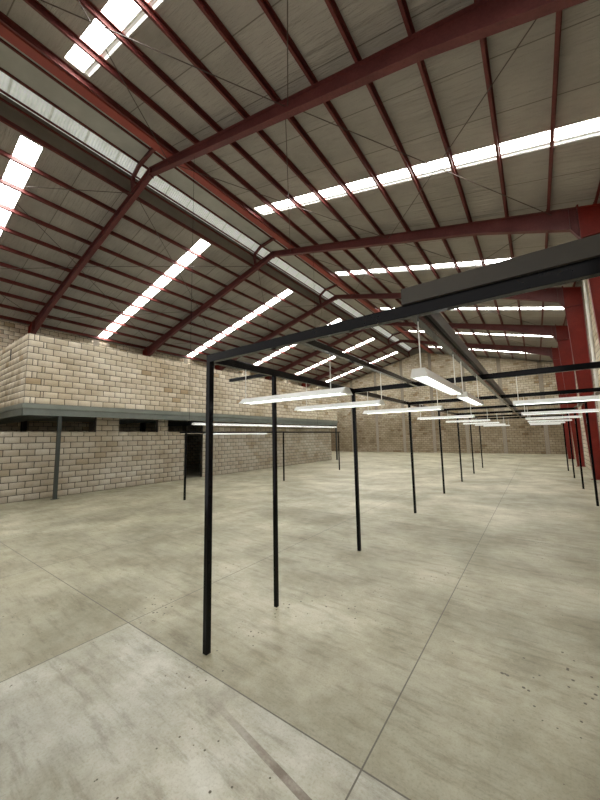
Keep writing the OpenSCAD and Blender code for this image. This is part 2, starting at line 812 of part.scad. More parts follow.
module mezzanine_deck() {
    color("#5f6962") difference() {
        box_between([-half_w, deck_y0, deck_soffit], [deck_x, deck_y1, deck_h]);
        column_notches(deck_soffit - clear, deck_h + clear);
    }
}

// The mezzanine beams' outline, with its web at a place from one edge
module beam_section(web_place) {
    square([beam_w, beam_t]);
    translate([0, beam_h - beam_t]) square([beam_w, beam_t]);
    translate([web_place, 0]) square([beam_t, beam_h]);
}

module mezzanine_front_beam() {
    color("#66716b") translate([-mezz_front - beam_w - beam_setback, 0, beam_z])
        along_hall(mezz_y0, mezz_y1) beam_section(beam_w - beam_t);
}

module mezzanine_cross_beams() {
    l = half_w - mezz_front - beam_setback - beam_w;
    color("#59625c") {
        translate([-half_w, mezz_y0, beam_z]) across_hall(0, l) beam_section(0);
        for (y = beam_lines)
            translate([-half_w, y - beam_w / 2, beam_z])
                across_hall(0, l) beam_section(beam_w / 2 - beam_t / 2);
    }
}

module mezzanine_posts() {
    color("#4d5550") for (y = post_lines) {
        box_between([post_x - mezz_post_w / 2, y - mezz_post_w / 2, slab_t + plate_t / 2],
                    [post_x + mezz_post_w / 2, y + mezz_post_w / 2, beam_z]);
        box_between([post_x - mezz_post_w, y - mezz_post_w, slab_t],
                    [post_x + mezz_post_w, y + mezz_post_w, slab_t + plate_t / 2 + clear]);
    }
}

// High openings in the lower front wall, as places from the mezzanine's near end. The last one runs
// on over the office doorway.
opening_starts = [3190, 5320];
opening_ends = [4840, office_door_y + office_door_w];

module beam_pockets() {
    for (y = beam_lines)
        box_between([-half_w, y - beam_w / 2, beam_z], [0, y + beam_w / 2, deck_soffit + clear]);
}

module office_front_wall_near() {
    color("#c4b79c") difference() {
        box_between([lower_x - wall_t, -half_l, slab_t], [lower_x, office_door_end, lower_top]);
        box_between([lower_x - wall_t - clear, office_door_start, slab_t - clear],
                    [lower_x + clear, office_door_end + clear, head_h]);
        box_between([lower_x - wall_t - clear, -half_l - clear, sill_h],
                    [lower_x + clear, mezz_y0 + low_wall_reach, lower_top + clear]);
        for (i = [0 : len(opening_starts) - 1])
            box_between([lower_x - wall_t - clear, mezz_y0 + opening_starts[i], sill_h],
                        [lower_x + clear, mezz_y0 + opening_ends[i], head_h]);
        beam_pockets();
    }
}

module office_front_wall_far() {
    color("#c4b79c") difference() {
        box_between([lower_x - wall_t, office_door_end, slab_t], [lower_x, mezz_y1, lower_top]);
        beam_pockets();
    }
}

module office_end_wall() {
    color("#c4b79c") difference() {
        box_between([-half_w, mezz_y1 - wall_t, slab_t], [lower_x - wall_t, mezz_y1, lower_top]);
        beam_pockets();
    }
}

module upper_front_wall() {
    color("#cdbfa3")
        box_between([-mezz_front - wall_t, mezz_y0, deck_h], [-mezz_front, mezz_y1, upper_top]);
}

module upper_end_walls() {
    color("#cdbfa3") for (y = [mezz_y0, mezz_y1 - wall_t])
        box_between([-half_w, y, deck_h], [-mezz_front - wall_t, y + wall_t, upper_top]);
}

// Lighting frame of square tubes, with its trunking and luminaires

frame_y0 = frame_start - half_l;
frame_rows = [for (k = [0 : frame_posts - 1]) frame_y0 + k * frame_pitch];
frame_y1 = frame_rows[frame_posts - 1];
tube_soffit = frame_beam_h - tube_h / 2;
tube_top = frame_beam_h + tube_h / 2;
far_row_x = half_w - frame_side_gap;
frame_x = far_row_x - frame_w;
line_y0 = line_start - half_l;
line_rows = [for (k = [0 : 2]) line_y0 + k * line_pitch];
lamp_inset = 200;

// A square post of width w standing on the floor slab
module floor_post(x, y, w, top) {
    box_between([x - w / 2, y - w / 2, slab_t], [x + w / 2, y + w / 2, top]);
}

module lighting_posts() {
    color("#17181a") {
        for (x = [frame_x, far_row_x], y = frame_rows) floor_post(x, y, tube_w, tube_soffit);
        floor_post(frame_x, frame_y0 + slim_post_y, slim_post_w, tube_soffit);
        for (y = line_rows) floor_post(line_x, y, rail_w, line_h - rail_w);
    }
}

module tube_across(y) {
    box_between([frame_x - tube_w / 2, y - tube_w / 2, tube_soffit],
                [far_row_x + tube_w / 2, y + tube_w / 2, tube_top]);
}

module tube_along(x, w, h, y0, y1, top) {
    box_between([x - w / 2, y0, top - h], [x + w / 2, y1, top]);
}

module side_arm() {
    y = frame_y0 + slim_post_y;
    box_between([frame_x - side_arm_l, y - slim_post_w / 2, frame_beam_h - slim_post_w / 2],
                [frame_x, y + slim_post_w / 2, frame_beam_h + slim_post_w / 2]);
}

module lighting_beams() {
    color("#17181a") {
        for (y = frame_rows) tube_across(y);
        for (x = [frame_x, frame_x + middle_beam_x, far_row_x])
            tube_along(x, tube_w, tube_h, frame_y0, frame_y1, tube_top);
        side_arm();
        tube_along(frame_x + rail_x, rail_w, rail_w, frame_y0, frame_y0 + frame_pitch,
                   tube_soffit + rail_w);
        tube_along(line_x, rail_w, rail_w, line_rows[0] - lamp_inset, line_rows[2] + lamp_inset, line_h);
    }
}

module cable_trunking() {
    x = frame_x + middle_beam_x;
    color("#3c3f40") {
        box_between([x - trunking_w / 2, frame_y0 - trunking_w / 2, tube_top],
                    [x + trunking_w / 2, frame_y1, tube_top + trunking_h]);
        box_between([x, frame_y0 - trunking_w / 2, tube_top],
                    [far_row_x, frame_y0 + trunking_w / 2, tube_top + trunking_h]);
    }
}

// The hung rail lies on its luminaires' spines and hangs by a wire from each of two rafters
hung_y0 = hung_start - half_l;
hung_y1 = hung_y0 + 3 * long_lamp_l;
hung_rail_z = lamp_h + lamp_body_h;

module hung_light_rail() {
    color("#2c2d2e") {
        tube_along(hung_x, hung_rail_w, hung_rail_w, frame_lines[0] - hung_rail_w, hung_y1,
                   hung_rail_z + hung_rail_w);
        for (y = [frame_lines[0], frame_lines[1]])
            translate([hung_x, y, hung_rail_z + hung_rail_w - clear])
                cylinder(h = soffit_z(hung_x) - hung_rail_z - hung_rail_w + clear, d = wire_d, $fn = 16);
    }
}

// Places of the luminaires, from the frame's first row or its rails
rail_lamp_gap = 10;
rail_lamp_back = 620;
rail_lamp_y = [460, 1630];
middle_lamp_y = [660, 2140];
low_lamp_y = 1500;
hanger_inset = 60;
lamp_end_gap = 10;
reflector = [lamp_w, lamp_spine_w, bulb_pitch];
batten = [batten_w, batten_spine_w, batten_pitch];
// Each luminaire as [x, y, z, length, true where it runs along the hall, [hangers' places along it],
// [its widths]]
rail_lamp_x = [frame_x + rail_lamp_gap + lamp_l / 2, frame_x + rail_x - rail_lamp_back];
inner_hangers = [hanger_d - lamp_l / 2, frame_x - rail_lamp_x[1]];
end_hangers = [-lamp_l / 2 + hanger_inset, lamp_l / 2 - hanger_inset];
low_lamp_z = line_h - rail_w - lamp_body_h;
rail_hanger_x = frame_x + rail_x - rail_w / 4;
row_lamp_x = [frame_x + lamp_inset + lamp_l / 2, far_row_x - lamp_inset / 2 - lamp_l / 2];
lamps = concat(
    [for (i = [0, 1]) [rail_lamp_x[i], frame_y0 + rail_lamp_y[i], lamp_h, lamp_l, false,
                       [inner_hangers[i], rail_hanger_x - rail_lamp_x[i]], reflector]],
    [for (y = middle_lamp_y)
        [frame_x + middle_beam_x, frame_y0 + y, lamp_h, lamp_l, true, end_hangers, batten]],
    [for (k = [1 : frame_posts - 1], x = row_lamp_x)
        [x, frame_rows[k], lamp_h, lamp_l, false, end_hangers, reflector]],
    [for (k = [0, 1])
        [line_x, line_y0 + low_lamp_y + k * low_lamp_l, low_lamp_z, low_lamp_l - lamp_end_gap, true, [],
         reflector]],
    [for (k = [0 : 2])
        [hung_x, hung_y0 + (k + 0.5) * long_lamp_l, lamp_h, long_lamp_l - lamp_end_gap, true, [],
         reflector]]);
cap_l = 28;
cap_foot = 2;
lamp_rim = 8;
lamp_sheet = 12;

// A luminaire of length l, with widths [of its reflector, of its spine, between its tubes]
module luminaire(l, hangers, widths) {
    w = widths[0];
    spine_w = widths[1];
    bulbs_w = widths[2] + bulb_d;
    rotate([90, 0, 90]) translate([0, 0, -l / 2]) linear_extrude(height = l)
        polygon([[-w / 2, 0], [-w / 2 + lamp_rim, 0],
                 [-spine_w / 2, lamp_body_h - lamp_sheet], [spine_w / 2, lamp_body_h - lamp_sheet],
                 [w / 2 - lamp_rim, 0], [w / 2, 0],
                 [spine_w / 2, lamp_body_h], [-spine_w / 2, lamp_body_h]]);
    for (end = [-1, 1])
        translate([end * (l - cap_l) / 2, 0, 0]) rotate([90, 0, 90]) translate([0, 0, -cap_l / 2])
            linear_extrude(height = cap_l)
                polygon([[-spine_w / 2, lamp_body_h - lamp_sheet + clear], [-bulbs_w / 2, cap_foot],
                         [bulbs_w / 2, cap_foot], [spine_w / 2, lamp_body_h - lamp_sheet + clear]]);
    for (x = hangers)
        translate([x, 0, lamp_body_h - clear])
            cylinder(h = tube_soffit - lamp_h - lamp_body_h + clear, d = hanger_d, $fn = 16);
}

module luminaires() {
    color("#e8e8e2") for (lamp = lamps)
        translate([lamp[0], lamp[1], lamp[2]]) rotate([0, 0, lamp[4] ? 90 : 0])
            luminaire(lamp[3], lamp[5], lamp[6]);
}

module fluorescent_tubes() {
    color("#fbfbf4") for (lamp = lamps, side = [-1, 1])
        translate([lamp[0], lamp[1], lamp[2]]) rotate([0, 0, lamp[4] ? 90 : 0])
            translate([-lamp[3] / 2 + cap_l, side * lamp[6][2] / 2, bulb_d / 2 + cap_foot + clear])
                rotate([0, 90, 0])
                cylinder(h = lamp[3] - 2 * cap_l, d = bulb_d, $fn = 24);
}

floor_slab();
left_side_wall();
right_side_wall();
far_gable_wall();
near_gable_wall_left();
near_gable_wall_right();
near_gable_wall_over_door();
side_tie_columns();
gable_tie_columns();
door_lintels();
left_columns();
right_columns();
left_rafters();
right_rafters();
left_purlins();
right_purlins();
left_roof_sheeting();
right_roof_sheeting();
left_rooflights();
right_rooflights();
monitor_brackets();
monitor_purlins();
monitor_top_sheet();
monitor_shoulder_lights();
monitor_side_sheets();
monitor_end_sheets();
verge_flashings();
roof_bracing();
eaves_gutters();
downpipes();
mezzanine_deck();
mezzanine_front_beam();
mezzanine_cross_beams();
mezzanine_posts();
office_front_wall_near();
office_front_wall_far();
office_end_wall();
upper_front_wall();
upper_end_walls();
lighting_posts();
lighting_beams();
cable_trunking();
hung_light_rail();
luminaires();
fluorescent_tubes();
roller_shutter();
shutter_guides();
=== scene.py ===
# The looks of a steel portal frame factory hall with block walls, a mezzanine and a ridge monitor.
# Metres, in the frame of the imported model: X across the hall, Y along it, Z up from the ground.
import math

import bmesh
import bpy
import numpy as np
from mathutils import Matrix, Vector


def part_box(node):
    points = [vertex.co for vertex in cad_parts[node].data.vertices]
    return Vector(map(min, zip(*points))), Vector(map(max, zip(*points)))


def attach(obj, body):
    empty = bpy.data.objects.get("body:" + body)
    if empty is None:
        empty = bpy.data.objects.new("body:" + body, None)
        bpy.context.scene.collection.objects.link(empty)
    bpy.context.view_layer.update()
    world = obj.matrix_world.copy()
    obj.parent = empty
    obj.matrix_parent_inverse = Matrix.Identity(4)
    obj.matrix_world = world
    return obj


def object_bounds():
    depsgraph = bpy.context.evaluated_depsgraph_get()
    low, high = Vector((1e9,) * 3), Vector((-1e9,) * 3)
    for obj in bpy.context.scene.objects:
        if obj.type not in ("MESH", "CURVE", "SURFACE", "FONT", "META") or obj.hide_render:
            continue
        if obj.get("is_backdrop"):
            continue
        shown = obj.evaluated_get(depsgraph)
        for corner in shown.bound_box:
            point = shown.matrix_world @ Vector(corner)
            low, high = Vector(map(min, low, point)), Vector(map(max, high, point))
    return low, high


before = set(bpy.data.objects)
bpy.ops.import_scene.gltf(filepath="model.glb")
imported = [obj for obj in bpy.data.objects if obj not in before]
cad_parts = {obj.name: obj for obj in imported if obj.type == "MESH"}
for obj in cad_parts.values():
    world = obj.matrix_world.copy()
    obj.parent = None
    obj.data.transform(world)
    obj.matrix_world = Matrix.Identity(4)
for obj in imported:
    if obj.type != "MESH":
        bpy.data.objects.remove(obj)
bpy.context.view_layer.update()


# The floor slab: ground-bearing concrete, power-floated and worn by traffic. Its contraction joints
# are sawn every 2.6 m, and oil, dust and water have stained it in soft patches.
def linear(colour):
    """An sRGB hex colour as the linear one that the shaders take."""
    parts = [int(colour[i : i + 2], 16) / 255 for i in (1, 3, 5)]
    return [c / 12.92 if c <= 0.04045 else ((c + 0.055) / 1.055) ** 2.4 for c in parts] + [1.0]


def per(size):
    """The scale of a pattern whose marks are a size apart, in millimetres."""
    return 1000 / size


def join(tree, node, values):
    """Sets a node's inputs, by name or number, to a value, a hex colour, a socket, or another node,
    which stands for its first output."""
    for name, value in values.items():
        if isinstance(value, bpy.types.Node):
            value = value.outputs[0]
        if isinstance(value, bpy.types.NodeSocket):
            tree.links.new(value, node.inputs[name])
        else:
            node.inputs[name].default_value = linear(value) if isinstance(value, str) else value


def add(tree, kind, values=None, stops=(), **settings):
    """Adds a shader node with its inputs and settings. Stops of (place, colour) fill a colour ramp,
    and the settings are then the ramp's."""
    made = tree.nodes.new("ShaderNode" + kind)
    for name, value in settings.items():
        setattr(made.color_ramp if stops else made, name, value)
    if stops:
        points = made.color_ramp.elements
        while len(points) < len(stops):
            points.new(0.5)
        for point, (place, colour) in zip(points, stops):
            point.position = place
            point.color = linear(colour)
    join(tree, made, values or {})
    return made


def material(name, values):
    """A new material with one Principled shader. Returns the material, its tree and the shader."""
    made = bpy.data.materials.new(name)
    made.use_nodes = True
    tree = made.node_tree
    shader = tree.nodes["Principled BSDF"]
    join(tree, shader, values)
    return made, tree, shader


def dress(made, *nodes):
    """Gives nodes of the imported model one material."""
    for node in nodes:
        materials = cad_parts[node].data.materials
        materials.clear()
        materials.append(made)


# Worn power-floated concrete: matt, with a faint sheen where it is rubbed smooth. Its clouds are about
# 2 m apart and its stains 0.6 m. The grit is drawn at 17 mm, coarser than sand, so that it shows.
worn_concrete, tree, shader = material("worn_power_floated_concrete", {})
where = add(tree, "TexCoord").outputs["Object"]
clouds = add(tree, "TexNoise", {"Vector": where, "Scale": per(2222), "Detail": 7, "Roughness": 0.62})
stains = add(tree, "TexNoise", {"Vector": where, "Scale": per(588), "Detail": 9, "Roughness": 0.7})
grit = add(tree, "TexNoise", {"Vector": where, "Scale": per(16.67), "Detail": 4, "Roughness": 0.7})
base = add(tree, "ValToRGB", {"Fac": clouds}, [(0.32, "#a3a195"), (0.5, "#bbb9ad"), (0.68, "#d8d6cb")])
dirt = add(tree, "ValToRGB", {"Fac": stains}, [(0.4, "#ffffff"), (0.58, "#d6d2c5"), (0.76, "#958c7a")])
# Scuffs left by traffic and by sweeping, about 450 mm long and 80 mm wide
swept = add(tree, "Mapping", {"Vector": where, "Rotation": (0, 0, 0.7), "Scale": (1.6, 9.0, 1.0)})
scuffs = add(tree, "TexNoise", {"Vector": swept, "Scale": per(714), "Detail": 8, "Roughness": 0.72})
scuffs = add(tree, "ValToRGB", {"Fac": scuffs}, [(0.36, "#d2cfc8"), (0.48, "#f6f6f4"), (0.62, "#ffffff")])
grains = add(tree, "ValToRGB", {"Fac": grit}, [(0.3, "#c8c2b4"), (0.5, "#ffffff")])
floor = base
for share, veil in ((0.75, dirt), (0.8, scuffs), (0.5, grains)):
    floor = add(tree, "MixRGB", {"Fac": share, "Color1": floor, "Color2": veil}, blend_type="MULTIPLY")
# Trodden-in specks up to 30 mm across, thicker in some patches than in others
chips = add(tree, "TexVoronoi", {"Vector": where, "Scale": per(76.9)})
litter = add(tree, "TexNoise", {"Vector": where, "Scale": per(1111), "Detail": 5, "Roughness": 0.6})
reach = add(tree, "MapRange", {"Value": litter, "From Min": 0.42, "From Max": 0.72, "To Max": 0.2})
speck = add(tree, "Math", {0: chips, 1: reach}, operation="LESS_THAN")
floor = add(tree, "MixRGB", {"Fac": speck, "Color1": floor, "Color2": "#57503f"})
# A painted guide line, worn and trodden brown, that runs across the near end of the slab
LINE_START = (7.2, -15.332)
LINE_SLOPE = -0.161
LINE_WIDTH = 0.048
LINE_FADE = 0.8
parts = add(tree, "SeparateXYZ", {"Vector": where})
x, y = parts.outputs["X"], parts.outputs["Y"]
away = add(tree, "Math", {0: x, 1: -LINE_SLOPE, 2: y}, operation="MULTIPLY_ADD")
away = add(tree, "Math", {0: away, 1: LINE_START[1] - LINE_SLOPE * LINE_START[0]}, operation="SUBTRACT")
away = add(tree, "Math", {0: away}, operation="ABSOLUTE")
line = add(tree, "Math", {0: away, 1: LINE_WIDTH / 2}, operation="LESS_THAN")
begun = add(tree, "MapRange", {"Value": x, "From Min": LINE_START[0],
                               "From Max": LINE_START[0] + LINE_FADE})
wear = add(tree, "TexNoise", {"Vector": where, "Scale": per(111), "Detail": 6, "Roughness": 0.7})
wear = add(tree, "MapRange", {"Value": wear, "From Min": 0.35, "From Max": 0.6, "To Min": 0.45,
                              "To Max": 0.95})
for share in (begun, wear):
    line = add(tree, "Math", {0: line, 1: share}, operation="MULTIPLY")
floor = add(tree, "MixRGB", {"Fac": line, "Color1": floor, "Color2": "#6b5d50"})
# Sawn joints, dark with dust. The bay inside the doorway is painted paler, as painted light from the
# doorway. The strips beyond it are yellower and darker, less so towards the far end.
SAW_PITCH = (2.62, 5.24)
SAW_FIRST = (5.77, -15.19)
SAW_WIDTH = 0.010
STRIP_COUNT = 8
STRIPS = [(0.0, "#e2decf"), (0.25, "#f3efe2"), (0.375, "#fdf8eb"), (0.5, "#fffbed")]
strip = add(tree, "MapRange", {"Value": y, "From Min": SAW_FIRST[1] - SAW_PITCH[1],
                               "From Max": SAW_FIRST[1] + (STRIP_COUNT - 1) * SAW_PITCH[1]})
strip = add(tree, "ValToRGB", {"Fac": strip}, STRIPS, interpolation="CONSTANT")
# Painted light: right of the first joint the near bay keeps full brightness, as lit from the doorway.
near = add(tree, "Math", {0: y, 1: SAW_FIRST[1]}, operation="LESS_THAN")
painted_doorway_light = add(tree, "Math", {0: x, 1: SAW_FIRST[0]}, operation="GREATER_THAN")
painted_doorway_light = add(tree, "Math", {0: near, 1: painted_doorway_light}, operation="MULTIPLY")
strip = add(tree, "MixRGB", {"Fac": painted_doorway_light, "Color1": strip, "Color2": "#ffffff"})
floor = add(tree, "MixRGB", {"Fac": 1.0, "Color1": floor, "Color2": strip}, blend_type="MULTIPLY")
cuts = []
for along, first, pitch in ((x, SAW_FIRST[0], SAW_PITCH[0]), (y, SAW_FIRST[1], SAW_PITCH[1])):
    off = add(tree, "Math", {0: along, 1: first}, operation="SUBTRACT")
    off = add(tree, "Math", {0: off, 1: pitch / 2}, operation="PINGPONG")
    cuts.append(add(tree, "Math", {0: off, 1: SAW_WIDTH / 2}, operation="LESS_THAN"))
cut = add(tree, "Math", {0: cuts[0], 1: cuts[1]}, operation="MAXIMUM")
floor = add(tree, "MixRGB", {"Fac": cut, "Color1": floor, "Color2": "#5e584c"})
polish = add(tree, "MapRange", {"Value": clouds, "From Min": 0.3, "From Max": 0.7, "To Min": 0.62,
                                "To Max": 0.34})
relief = add(tree, "Bump", {"Height": grit, "Distance": 0.001})
join(tree, shader, {"Base Color": floor, "Roughness": polish, "Normal": relief})
dress(worn_concrete, "floor_slab")


# The walls' mortar: the wall solids themselves, left showing in the joints between the block faces.
# Grey-brown cement, raked back while wet and darkened with dust.
EAVES = 7.95
cement_mortar, tree, shader = material("brushed_cement_mortar", {"Roughness": 0.9})
where = add(tree, "TexCoord").outputs["Object"]
sand = add(tree, "TexNoise", {"Vector": where, "Scale": per(40), "Detail": 5, "Roughness": 0.7})
raked = add(tree, "ValToRGB", {"Fac": sand}, [(0.3, "#211c16"), (0.7, "#383127")])
# Over the eaves the gables were pointed flush in a paler mix.
height = add(tree, "SeparateXYZ", {"Vector": where}).outputs["Z"]
flush = add(tree, "Math", {0: height, 1: EAVES}, operation="GREATER_THAN")
joints = add(tree, "MixRGB", {"Fac": flush, "Color1": raked, "Color2": "#8f8677"})
relief = add(tree, "Bump", {"Height": sand, "Distance": 0.002})
join(tree, shader, {"Base Color": joints, "Normal": relief})
dress(cement_mortar, "left_side_wall", "right_side_wall", "far_gable_wall", "near_gable_wall_left",
      "near_gable_wall_right", "near_gable_wall_over_door", "office_front_wall_near",
      "office_front_wall_far", "office_end_wall", "upper_front_wall", "upper_end_walls")


# The side walls' blocks: pressed concrete, laid in stretcher bond, each course half a block along
# from the one below. Most are cream and a few are tan. Only their faces are drawn.
BLOCK_PITCH = 0.402
COURSE = 0.204
JOINT = 0.018  # The mortar with the blocks' broken edges
PROUD = 0.005
ARRIS = 0.004
LEAST = 0.03  # The least width or height of a cut block
NO_JOINT = 0.06  # How near the end of a wall or a hole no joint falls
SLIVER = 2.5 * ARRIS  # The least side of a face, so that its arrises stay apart
TOP_STEPS = 40  # Places along a wall where its height is taken, to find the highest course
# The first joints of the even and the odd courses from a wall's start; the rest follow at the pitch
PLAIN_BOND = ([0.0], [BLOCK_PITCH / 2])
CLOSER_BOND = ([0.15, 0.28], [0.402, 0.482])
# Eight corners make a block, four at the wall and four in front: its face and the four worn arrises.
BLOCK_FACES = np.array([[4, 5, 6, 7], [0, 1, 5, 4], [1, 2, 6, 5], [2, 3, 7, 6], [3, 0, 4, 7]])


def cast_block(name, tones, wear):
    """Pressed concrete block: open-grained and matt, each block a little apart in tone. Its pores are
    drawn 22 mm apart, coarser than real so that they show, and its damp patches 2 m."""
    made, tree, shader = material(name, {"Roughness": 0.88})
    where = add(tree, "TexCoord").outputs["Object"]
    own = add(tree, "NewGeometry").outputs["Random Per Island"]
    grain = add(tree, "TexNoise", {"Vector": where, "Scale": per(22.2), "Detail": 5, "Roughness": 0.75})
    damp = add(tree, "TexNoise", {"Vector": where, "Scale": per(2000), "Detail": 6, "Roughness": 0.65})
    tone = add(tree, "ValToRGB", {"Fac": own}, tones, interpolation="CONSTANT")
    stained = add(tree, "ValToRGB", {"Fac": damp}, [(0.35, "#ffffff"), (0.75, wear)])
    pores = add(tree, "ValToRGB", {"Fac": grain}, [(0.3, "#a79c88"), (0.46, "#ffffff")])
    for share, veil in ((1.0, stained), (0.55, pores)):
        tone = add(tree, "MixRGB", {"Fac": share, "Color1": tone, "Color2": veil}, blend_type="MULTIPLY")
    relief = add(tree, "Bump", {"Height": grain, "Distance": 0.003})
    join(tree, shader, {"Base Color": tone, "Normal": relief})
    return made


def wall(origin, along, length, tops, holes=(), bond=PLAIN_BOND):
    """The corners of a wall's blocks. The wall runs along a level direction from origin, looks to the
    right, ends under the line tops(u) and stays out of its holes, each (u0, v0, u1, v1)."""
    origin, along = np.array(origin, float), np.array(along, float)
    out = np.array([along[1], -along[0], 0.0]) * PROUD
    corners = []
    highest = max(tops(length * k / TOP_STEPS) for k in range(TOP_STEPS + 1))
    for row in range(math.ceil(highest / COURSE)):
        foot, head = row * COURSE + JOINT / 2, (row + 1) * COURSE - JOINT / 2
        met = [hole for hole in holes if hole[1] < head - LEAST and hole[3] > foot + LEAST]
        ends = {0.0, length} | {min(max(u, 0.0), length) for hole in met for u in (hole[0], hole[2])}
        joints = list(bond[row % 2])
        while joints[-1] < length:
            joints.append(joints[-1] + BLOCK_PITCH)
        edges = sorted(ends | {u for u in joints if 0 < u < length
                               and min(abs(u - end) for end in ends) > NO_JOINT})
        for a, b in zip(edges, edges[1:]):
            low, high = foot, head
            for hole in met:
                if hole[0] < (a + b) / 2 < hole[2]:
                    if hole[1] > foot + LEAST:
                        high = min(high, hole[1])
                    else:
                        low = max(low, hole[3])
            u0, u1 = a + JOINT / 2, b - JOINT / 2
            left, right = min(high, tops(u0)), min(high, tops(u1))
            if u1 - u0 < LEAST or max(left, right) < low + LEAST:
                continue
            left, right = max(left, low + SLIVER), max(right, low + SLIVER)
            corners += [origin + along * u + [0, 0, v]
                        for u, v in ((u0, low), (u1, low), (u1, right), (u0, left))]
            corners += [origin + along * u + [0, 0, v] + out
                        for u, v in ((u0 + ARRIS, low + ARRIS), (u1 - ARRIS, low + ARRIS),
                                     (u1 - ARRIS, right - ARRIS), (u0 + ARRIS, left - ARRIS))]
    return corners


def fixed(name, mesh, made):
    """Stands a mesh in the hall as a piece of one material, fixed to the building."""
    mesh.materials.append(made)
    piece = bpy.data.objects.new(name, mesh)
    bpy.context.collection.objects.link(piece)
    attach(piece, "root")


def block_faces(name, made, walls):
    """One piece from the blocks of several walls."""
    corners = [corner for blocks in walls for corner in blocks]
    firsts = np.arange(0, len(corners), 8)
    mesh = bpy.data.meshes.new(name)
    faces = (BLOCK_FACES + firsts[:, None, None]).reshape(-1, 4)
    mesh.from_pydata(corners, [], faces.tolist(), shade_flat=False)
    fixed(name, mesh, made)


def level(height):
    """A wall top at one height all along."""
    return lambda u: height


def solids_of(node):
    """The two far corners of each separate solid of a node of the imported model."""
    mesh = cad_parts[node].data
    near = list(range(len(mesh.vertices)))

    def root(i):
        while near[i] != i:
            near[i] = near[near[i]]
            i = near[i]
        return i

    same = {}
    for vertex in mesh.vertices:
        key = tuple(round(c, 5) for c in vertex.co)
        near[root(vertex.index)] = root(same.setdefault(key, vertex.index))
    for edge in mesh.edges:
        near[root(edge.vertices[0])] = root(edge.vertices[1])
    solids = {}
    for vertex in mesh.vertices:
        solids.setdefault(root(vertex.index), []).append(vertex.co)
    return [(Vector(map(min, *points)), Vector(map(max, *points))) for points in solids.values()]


FLOOR_TOP = 0.15
CREAM = [(0.0, "#d8cdb9"), (0.2, "#ddd3c0"), (0.42, "#d3c8b3"), (0.66, "#e2d8c6"), (0.85, "#cabea8"),
         (0.96, "#b7a487")]
cream_block = cast_block("pressed_cream_block", CREAM, "#cfc3af")
side_walls = []
for node, side in (("left_side_wall", -1), ("right_side_wall", 1)):
    for low, high in solids_of(node):
        inner, outer = (high.x, low.x) if side < 0 else (low.x, high.x)
        first, last = (low.y, high.y) if side < 0 else (high.y, low.y)
        side_walls.append(wall((inner, first, FLOOR_TOP), (0, -side, 0), high.y - low.y,
                               level(high.z - FLOOR_TOP)))
        side_walls.append(wall((outer, last, 0), (0, side, 0), high.y - low.y, level(high.z)))
block_faces("side_wall_block_faces", cream_block, side_walls)


# The gable walls' blocks: the same blocks, cut to the roof line by hand. Smoke and dust have
# darkened them from the ground up to about door height, and the upper courses stay paler.
GABLE_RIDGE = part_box("far_gable_wall")[1].z
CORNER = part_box("far_gable_wall")[1].x
ROOF_FALL = 0.25
SOOT_WANDER = 3.0
SOOT_EDGE = (4.5, 7.0)


def opened(made):
    """A finished material's tree, shader and colour, for a piece that has more on top of it."""
    shader = made.node_tree.nodes["Principled BSDF"]
    return made.node_tree, shader, shader.inputs["Base Color"].links[0].from_socket


def under_roof(start, step, foot):
    """The height of the roof line over a foot level, along a wall from start."""
    return lambda u: GABLE_RIDGE - ROOF_FALL * abs(start + step * u) - foot


# Smoke-darkened block: the soot stops at a ragged edge, which wanders by metres from block to block.
sooty_block = cast_block("smoke_darkened_block", CREAM, "#bfb19b")
tree, shader, tone = opened(sooty_block)
where = add(tree, "TexCoord").outputs["Object"]
height = add(tree, "SeparateXYZ", {"Vector": where}).outputs["Z"]
ragged = add(tree, "TexNoise", {"Vector": where, "Scale": per(1250), "Detail": 5})
rise = add(tree, "Math", {0: ragged, 1: SOOT_WANDER, 2: height}, operation="MULTIPLY_ADD")
soot = add(tree, "MapRange", {"Value": rise, "From Min": SOOT_EDGE[0], "From Max": SOOT_EDGE[1]})
soot = add(tree, "ValToRGB", {"Fac": soot}, [(0.0, "#b4ada2"), (1.0, "#f0efee")])
tone = add(tree, "MixRGB", {"Fac": 1.0, "Color1": tone, "Color2": soot}, blend_type="MULTIPLY")
join(tree, shader, {"Base Color": tone})
gable_walls = []
for node in ("far_gable_wall", "near_gable_wall_left", "near_gable_wall_right",
             "near_gable_wall_over_door"):
    for low, high in solids_of(node):
        for y, step in ((low.y, 1), (high.y, -1)):
            inside = (low.y > 0) == (step > 0)
            foot = max(low.z, FLOOR_TOP) if inside else low.z
            start = low.x if step > 0 else high.x
            gable_walls.append(wall((start, y, foot), (step, 0, 0), high.x - low.x,
                                    under_roof(start, step, foot)))
        # The ends of the gables, which show at the corners of the hall
        for x, step in ((low.x, -1), (high.x, 1)):
            if abs(x) > CORNER - LEAST:
                gable_walls.append(wall((x, low.y if step > 0 else high.y, low.z), (0, step, 0),
                                        high.y - low.y, level(GABLE_RIDGE - ROOF_FALL * CORNER - low.z)))
block_faces("gable_wall_block_faces", sooty_block, gable_walls)


